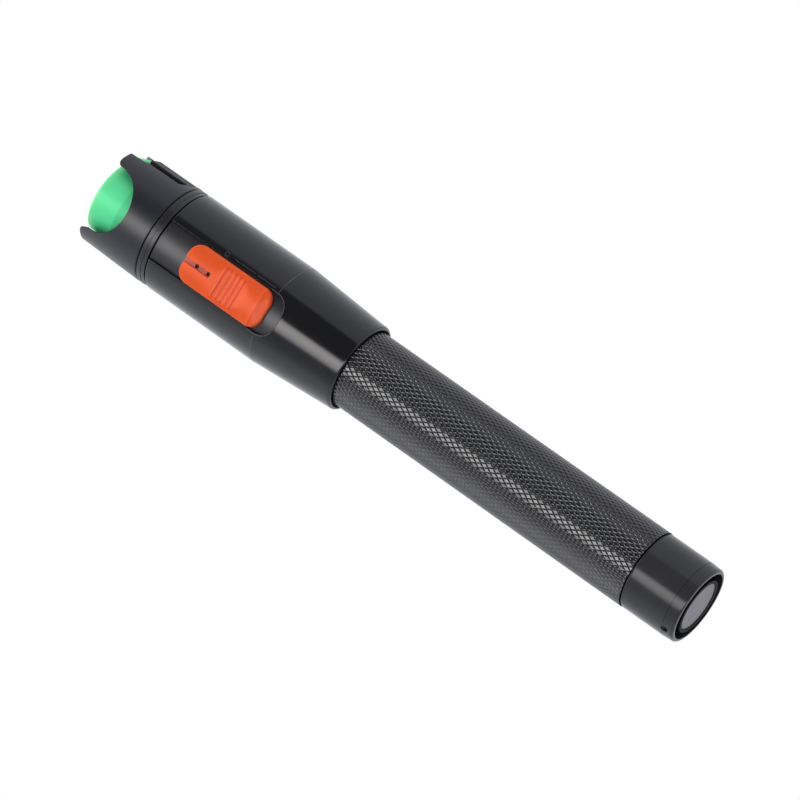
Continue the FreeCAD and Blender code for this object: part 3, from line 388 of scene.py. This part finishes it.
def new_piece(name, mesh, body, slot, *nodes):
    """Visual piece that rides a body and stands for the CAD nodes named."""
    piece = bpy.data.objects.new(name, mesh)
    bpy.context.scene.collection.objects.link(piece)
    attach(piece, body)
    if nodes:
        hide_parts(*nodes)
    return piece


def keep_sharp(mesh, degrees):
    """Smooth shading that breaks at edges steeper than this."""
    mesh.polygons.foreach_set("use_smooth", [True] * len(mesh.polygons))
    mesh.set_sharp_from_angle(angle=math.radians(degrees))


def grid_faces(rows, columns, closed=False):
    """Quads over rows of points, joined round to the first column where closed."""
    faces = []
    for row in range(rows - 1):
        for column in range(columns if closed else columns - 1):
            ahead = (column + 1) % columns
            low, high = row * columns, (row + 1) * columns
            faces.append((low + column, low + ahead, high + ahead, high + column))
    return faces


# ---------------------------------------------------------------- knurled tube

KNURL_STARTS = 50
KNURL_ANGLE = 30.6       # degrees between the grooves and the pen's axis
KNURL_DEPTH = 0.21
LAND_SHARE = 0.6         # flat top of each diamond, as a share of its cell
SHOULDER_SHARE = 0.78    # end of the eased edge round the flat top
SHOULDER_DEPTH = 0.05
THREAD_PITCH = 1.017
THREAD_DEPTH = 0.32
TUBE_CREST = (15.15, 101.8)      # heights where the knurl starts and ends
REAR_NECK = 8.75
FRONT_NECK = 9.0
TUBE_BORE = 7.6
NECK_COLUMNS = 96


def thread_rows(radius, low, high, columns):
    """Rows of points on a threaded neck, its crests winding up by one pitch a turn."""
    steps = int(round((high - low) / (THREAD_PITCH / 6)))
    points = []
    for row in range(steps + 1):
        height = low + (high - low) * row / steps
        for column in range(columns):
            turn = column / columns
            wave = abs(((height / THREAD_PITCH + turn) % 1) * 2 - 1)
            ends = min(1.0, row / 4, (steps - row) / 4)
            points.append(around(radius - THREAD_DEPTH * wave * ends, 360 * turn, height))
    return points, steps + 1


def ring_points(radius, height, columns):
    """Circle of points round the pen's axis."""
    return [around(radius, 360 * column / columns, height) for column in range(columns)]


def neck_and_bore(points, faces, columns):
    """Threaded rear neck, plain front neck and the bore that joins them."""
    low, high = low_high("battery_tube")
    start, end = TUBE_CREST
    thread, rows = thread_rows(REAR_NECK, low, start, columns)
    base = len(points)
    points += thread
    faces += [[base + corner for corner in face] for face in grid_faces(rows, columns, True)]
    rings = [(FRONT_NECK, end), (FRONT_NECK, high), (TUBE_BORE, high), (TUBE_BORE, low), (REAR_NECK, low)]
    base = len(points)
    for radius, height in rings:
        points += ring_points(radius, height, columns)
    faces += [[base + corner for corner in face] for face in grid_faces(len(rings), columns, True)]




def knurled_tube():
    """Battery tube with flat-topped diamonds between crossing V grooves."""
    crest = low_high("battery_tube", 0)[1]
    low, high = TUBE_CREST
    step = 180 / KNURL_STARTS
    rise = math.pi * crest / KNURL_STARTS / math.tan(math.radians(KNURL_ANGLE))
    rows = int(round((high - low) / rise))
    rise = (high - low) / rows
    columns = 2 * KNURL_STARTS
    points = []
    faces = []
    slots = []
    for row in range(rows + 1):
        for column in range(columns):
            points.append(around(crest - KNURL_DEPTH, step * column, low + rise * row))
    for row in range(rows + 1):
        for column in range(row % 2, columns, 2):
            land = len(points)
            below, above = row > 0, row < rows
            for share, depth in ((LAND_SHARE, 0), (SHOULDER_SHARE, SHOULDER_DEPTH)):
                reach = [(0, -share if below else 0), (share, 0), (0, share if above else 0), (-share, 0)]
                for across, up in reach:
                    points.append(around(crest - depth, step * (column + across), low + rise * (row + up)))
            ring = [((row - 1) if below else row, column), (row, column + 1),
                    ((row + 1) if above else row, column), (row, column - 1)]
            valley = [level * columns + place % columns for level, place in ring]
            diamond = diamond_faces(land, valley, below, above)
            faces += diamond
            slots += [0] + [1] * (len(diamond) - 1)
    for row, radius in ((0, REAR_NECK), (rows, FRONT_NECK)):
        faces += shoulder_faces(points, row, columns, radius, low + rise * row)
    neck_and_bore(points, faces, NECK_COLUMNS)
    slots += [1] * (len(faces) - len(slots))
    # tops and slopes are dark and light copies of one black finish: painted light on the groove walls
    mesh = mesh_from("battery_tube_knurled", points, faces, ["knurl_black", "knurl_slope_painted_lit"], slots)
    keep_sharp(mesh, 60)
    sharpen_between(mesh)
    new_piece("battery_tube_knurled", mesh, "housing", "anodised_black", "battery_tube")


def sharpen_between(mesh):
    """Break the smooth shading where two materials meet."""
    borders = {}
    for polygon in mesh.polygons:
        for edge in polygon.edge_keys:
            borders.setdefault(edge, set()).add(polygon.material_index)
    for edge in mesh.edges:
        if len(borders[edge.key]) > 1:
            edge.use_edge_sharp = True


def diamond_faces(land, valley, below, above):
    """Flat top of a diamond and the slopes from it down to its grooves."""
    if below and above:
        faces = [(land, land + 1, land + 2, land + 3)]
    elif above:
        faces = [(land + 1, land + 2, land + 3)]
    else:
        faces = [(land, land + 1, land + 3)]
    sides = []
    if below:
        sides += [(3, 0), (0, 1)]
    if above:
        sides += [(1, 2), (2, 3)]
    for first, last in sides:
        faces.append((land + 4 + first, land + 4 + last, land + last, land + first))
        faces.append((valley[first], valley[last], land + 4 + last, land + 4 + first))
    return faces


def shoulder_faces(points, row, columns, radius, height):
    """Flat ring from the end of the knurl in to the neck."""
    base = len(points)
    points += ring_points(radius, height, columns)
    rim = row * columns
    faces = []
    for column in range(columns):
        ahead = (column + 1) % columns
        faces.append((rim + column, rim + ahead, base + ahead, base + column))
    return faces


# ---------------------------------------------------------------- slide button

BUTTON_FRONT_CORNER = 2.9
BUTTON_REAR_CORNER = 3.4
BUTTON_EDGE = 0.5
DISH_RADIUS = 20.0
DISH_DEPTH = 0.6
DISH_SETBACK = 13.3      # from the button's front end to the middle of the finger dish
DISH_BLEND = 0.22
RIB_COUNT = 5
RIB_PITCH = 1.35
RIB_SHIFT = 0.4
RIB_WIDTH = 0.8
RIB_LENGTH = 8.0
RIB_HEIGHT = 0.3
RAMP_LENGTH = 2.6
RAMP_DROP = 0.9
RAMP_LIFT = 0.1
RAMP_BLEND = 0.12
RIDGE_HEIGHT = 0.14      # faint lip across the button where its rear slope begins
RIDGE_WIDTH = 0.35
SLOT_HALF = 0.64
SLOT_LENGTH = 7.7
SLOT_DEPTH = 0.75
SLOT_WALL = 0.05
PIT_RADIUS = 0.45
PIT_DEPTH = 0.6
PIT_SPACING = 3.5
RIM_STEPS = [0, 0.01, 0.04, 0.09, 0.16, 0.25, 0.36]      # rows near the ends, where the edge rounds off
RIM_END = 0.46
BUTTON_ROWS = 210
SIDE_COLUMNS = 34
SLOT_COLUMNS = 14


def half_width(height, start, end, half):
    """Half the button's width at a height, narrowing round its corners."""
    for corner, inside in ((BUTTON_REAR_CORNER, height - start), (BUTTON_FRONT_CORNER, end - height)):
        if inside < corner:
            return half - corner + math.sqrt(max(0.0, corner ** 2 - (corner - inside) ** 2))
    return half


def soft_lower(first, second, blend):
    """Lower of two heights with a rounded join."""
    share = max(0.0, min(1.0, 0.5 + (second - first) / (2 * blend)))
    return second + (first - second) * share - blend * share * (1 - share)


def button_height(across, height, start, end, crown):
    """Distance of the button's top from the pen's middle plane."""
    level = math.sqrt(crown ** 2 - across ** 2)
    middle = end - DISH_SETBACK
    along = height - middle
    dish = crown + DISH_RADIUS - DISH_DEPTH - math.sqrt(DISH_RADIUS ** 2 - along ** 2)
    level = soft_lower(level, dish, DISH_BLEND)
    ramp = crown + RAMP_LIFT - RAMP_DROP * (start + RAMP_LENGTH - height) / RAMP_LENGTH
    level = soft_lower(level, ramp, RAMP_BLEND)
    ridge = RIDGE_HEIGHT * math.exp(-((height - start - RAMP_LENGTH) / RIDGE_WIDTH) ** 2)
    return level + ridge + rib_bump(across, height, middle)


def rib_bump(across, height, middle):
    """Rounded bars across the dish."""
    first = middle + RIB_SHIFT - RIB_PITCH * (RIB_COUNT - 1) / 2
    index = max(0, min(RIB_COUNT - 1, round((height - first) / RIB_PITCH)))
    away = height - first - index * RIB_PITCH
    beyond = max(0.0, abs(across) - (RIB_LENGTH - RIB_WIDTH) / 2)
    share = math.hypot(away, beyond) / (RIB_WIDTH / 2)
    return RIB_HEIGHT * math.sqrt(1 - share ** 2) if share < 1 else 0.0


def edge_drop(inside):
    """How far the rounded rim lies below the top."""
    if inside >= BUTTON_EDGE:
        return 0.0
    return BUTTON_EDGE - math.sqrt(max(0.0, BUTTON_EDGE ** 2 - (BUTTON_EDGE - inside) ** 2))


def rim_distance(across, height, start, end, half):
    """Distance in from the button's outline."""
    near = half - abs(across)
    for corner, inside in ((BUTTON_REAR_CORNER, height - start), (BUTTON_FRONT_CORNER, end - height)):
        near = min(near, inside)
        centre = half - corner
        if inside < corner and abs(across) > centre:
            near = min(near, corner - math.hypot(corner - inside, abs(across) - centre))
    return max(0.0, near)


def button_columns():
    """Shares of the width: outer parts stretch with it, the slot's part keeps its size."""
    rim = [0, 0.02, 0.05, 0.08, 0.12, 0.17]
    rest = 1 - rim[-1]
    outer = rim + [rim[-1] + rest * step / SIDE_COLUMNS for step in range(1, SIDE_COLUMNS + 1)]
    inner = [step / SLOT_COLUMNS for step in range(SLOT_COLUMNS + 1)]
    return outer, inner


def button_row(height, start, end, half):
    """Places across the button at one height."""
    width = half_width(height, start, end, half)
    outer, inner = button_columns()
    edge = min(SLOT_HALF + SLOT_WALL, width * 0.999)
    wall = edge * SLOT_HALF / (SLOT_HALF + SLOT_WALL)
    left = [-width + (width - edge) * share for share in outer]
    middle = [-wall + 2 * wall * share for share in inner]
    return left + middle + [-place for place in reversed(left)]


def button_levels(start, end):
    """Heights of the rows, close together at both ends and at the slot's end."""
    span = end - start - 2 * RIM_END
    inner = [start + RIM_END + span * step / BUTTON_ROWS for step in range(BUTTON_ROWS + 1)]
    slot_end = end - SLOT_LENGTH
    wall = [slot_end - SLOT_WALL, slot_end]
    inner = [level for level in inner if min(abs(level - place) for place in wall) > 0.04]
    return sorted([start + step for step in RIM_STEPS] + inner + wall + [end - step for step in RIM_STEPS])


def slide_button():
    """Thumb button as a fine height field over its outline, closed by walls and a curved underside."""
    start, end = low_high("slide_button")
    half = low_high("slide_button", 0)[1]
    front, back = low_high("slide_button", 1)
    crown, under = -front, math.hypot(back, half)
    pits = [end - SLOT_LENGTH + SLOT_HALF, end - SLOT_LENGTH + SLOT_HALF + PIT_SPACING]
    points = []
    slots = []
    levels = button_levels(start, end)
    for height in levels:
        for across in button_row(height, start, end, half):
            level = button_height(across, height, start, end, crown)
            level -= edge_drop(rim_distance(across, height, start, end, half))
            if abs(across) <= SLOT_HALF + 1e-6 and height >= end - SLOT_LENGTH:
                level = crown - SLOT_DEPTH
                if min(math.hypot(across, height - pit) for pit in pits) < PIT_RADIUS:
                    level -= PIT_DEPTH
            points.append((across, -level, height))
    columns = len(button_row(start, start, end, half))
    faces = grid_faces(len(levels), columns)
    for face in faces:
        middle = [sum(points[corner][axis] for corner in face) / 4 for axis in range(3)]
        sunk = crown + middle[1]
        in_slot = abs(middle[0]) < SLOT_HALF and middle[2] > end - SLOT_LENGTH
        in_pit = in_slot and sunk > SLOT_DEPTH + 0.1
        on_floor = in_slot and sunk > SLOT_DEPTH - 0.1
        slots.append(2 if in_pit else 1 if on_floor else 0)
    close_button(points, faces, slots, len(levels), columns, under)
    # the pits take a near-black finish: painted shade
    finishes = ["orange_plastic", "slot_pink", "pit_painted_shade"]
    mesh = mesh_from("slide_button_moulded", points, faces, finishes, slots)
    keep_sharp(mesh, 50)
    new_piece("slide_button_moulded", mesh, "switch", "orange_plastic", "slide_button")


def close_button(points, faces, slots, rows, columns, under):
    """Walls down from the rim to the underside, and the underside itself."""
    last = (rows - 1) * columns
    rim = [column for column in range(columns)]
    rim += [row * columns + columns - 1 for row in range(1, rows)]
    rim += [last + column for column in range(columns - 2, -1, -1)]
    rim += [row * columns for row in range(rows - 2, 0, -1)]
    base = len(points)
    for corner in rim:
        across, _, height = points[corner]
        points.append((across, -math.sqrt(under ** 2 - across ** 2), height))
    count = len(rim)
    for index in range(count):
        ahead = (index + 1) % count
        faces.append((rim[ahead], rim[index], base + index, base + ahead))
        slots.append(0)
    faces.append(tuple(base + index for index in range(count)))
    slots.append(0)


# ---------------------------------------------------------------- small lines and marks

BARREL_LENGTH = 32.3     # straight part of the shell, in front of the crease
NOSE_LENGTH = 3.0        # tail cap's nose, behind its turned line
CREASE_BEARINGS = (27, 333)
LINE_ROOT = 0.05         # how far a line's sides reach into the surface
MARK_SETBACK = 7.7       # from the button's front end to the ring
MARK_BEARING = 28.5
MARK_RING_RADIUS = 0.55
MARK_BARS = (("mark_bar_front", 2.4, 8.6), ("mark_bar_rear", 9.4, 14.6))
TRACK_CORNER = 4.1
TRACK_MARGIN = 0.32


def surface_line(name, radius, path, width, proud, body, slot, finish):
    """Fine line laid on a round surface along (bearing, height) points."""
    points = []
    for index, (bearing, height) in enumerate(path):
        before = path[max(0, index - 1)]
        after = path[min(len(path) - 1, index + 1)]
        along = Vector(((after[0] - before[0]) * math.radians(radius), after[1] - before[1])).normalized()
        for lift, share in ((-LINE_ROOT, -0.5), (proud, -0.3), (proud, 0.3), (-LINE_ROOT, 0.5)):
            turn = math.degrees(-along.y * share * width / radius)
            points.append(around(radius + lift, bearing + turn, height + along.x * share * width))
    mesh = mesh_from(name, points, grid_faces(len(path), 4), [finish])
    new_piece(name, mesh, body, slot)


def arc_path(height, start, end):
    """Path round the pen at one height."""
    steps = max(8, int(abs(end - start) / 2))
    return [(start + (end - start) * index / steps, height) for index in range(steps + 1)]


def ring_path(bearing, height, radius, on_radius):
    """Small closed ring on a round surface."""
    turn = math.degrees(radius / on_radius)
    angles = [math.radians(15 * index) for index in range(25)]
    return [(bearing + turn * math.cos(angle), height + radius * math.sin(angle)) for angle in angles]


def track_path(on_radius):
    """Path on the shell round the rear end of the slider's track."""
    half = low_high("track_panel", 0)[1] + TRACK_MARGIN
    rear = low_high("track_panel")[0] - TRACK_MARGIN
    inner = half - TRACK_CORNER
    outline = [(half, rear + TRACK_CORNER + 2)]
    for step in range(10):
        turn = math.radians(10 * step)
        outline.append((inner + TRACK_CORNER * math.cos(turn), rear + TRACK_CORNER * (1 - math.sin(turn))))
    outline += [(-across, height) for across, height in reversed(outline)]
    return [(math.degrees(math.asin(across / on_radius)), height) for across, height in outline]


def small_lines():
    """Crease and track edge of the shell, turned line of the tail cap and plain moulded marks, as thin
    strips: the light grey ones are painted highlights on edges and raised marks, the tail cap's dark one is
    painted shade of its turned groove.
    """
    shell = low_high("body_shell", 0)[1]
    crease = low_high("body_shell")[1] - BARREL_LENGTH
    surface_line("crease_line", shell - 0.005, arc_path(crease, *CREASE_BEARINGS), 0.16, 0.012,
                 "housing", "body_plastic", "painted_highlight_line")
    tail = low_high("tail_cap", 0)[1]
    # the turned line is a thin near-black strip: painted shade of a groove
    surface_line("nose_line", tail - 0.01, arc_path(NOSE_LENGTH, 0, 360), 0.14, 0.014,
                 "tail", "anodised_black", "groove_painted_shade")
    # light grey line round the rear end of the track: painted highlight on the shell's edge
    surface_line("track_edge_line", shell, track_path(shell), 0.12, 0.012,
                 "housing", "body_plastic", "painted_highlight_line")
    # the raised marks are black on black; their light grey is painted highlight
    mark = low_high("slide_button")[1] - MARK_SETBACK
    surface_line("mark_ring", shell, ring_path(MARK_BEARING, mark, MARK_RING_RADIUS, shell), 0.12, 0.012,
                 "housing", "body_plastic", "painted_highlight_line")
    for name, start, end in MARK_BARS:
        path = [(MARK_BEARING, mark - start - (end - start) * step / 6) for step in range(7)]
        surface_line(name, shell, path, 0.1, 0.012, "housing", "body_plastic", "painted_highlight_line")


# ---------------------------------------------------------------- the pieces

TAIL_WELL_RADIUS = 8.84  # the tail cap's recess is painted near-black: painted shade inside it
TAIL_WELL_DEPTH = 3.4


def colour_nodes():
    """Give each CAD node its record slot's finish, and finer ones where a piece differs."""
    for row in frame["record"]["subparts"]:
        mesh = NODES[row["node"]].data
        mesh.materials.clear()
        mesh.materials.append(MATERIALS[row["material_slot"]])
    for node in ("track_panel", "spacer_ring"):
        NODES[node].data.materials[0] = MATERIALS["panel_plastic"]
    NODES["hinge_bracket"].data.materials[0] = MATERIALS["bracket_black"]
    tail = NODES["tail_cap"].data
    # the recess's faces get the near-black finish: painted shade inside the tail cap
    tail.materials.append(MATERIALS["groove_painted_shade"])
    for polygon in tail.polygons:
        spot = polygon.center / MM
        if math.hypot(spot.x, spot.y) < TAIL_WELL_RADIUS and spot.z < TAIL_WELL_DEPTH:
            polygon.material_index = 1


colour_nodes()
knurled_tube()
slide_button()
small_lines()

make_world()
make_lamp("key", azimuth=-40, elevation=55, distance=1.2, size=0.9, power=9.0)
make_lamp("fill", azimuth=60, elevation=20, distance=1.4, size=1.0, power=5.0)
make_floor()
make_camera()
bpy.context.scene.view_settings.view_transform = "Standard"
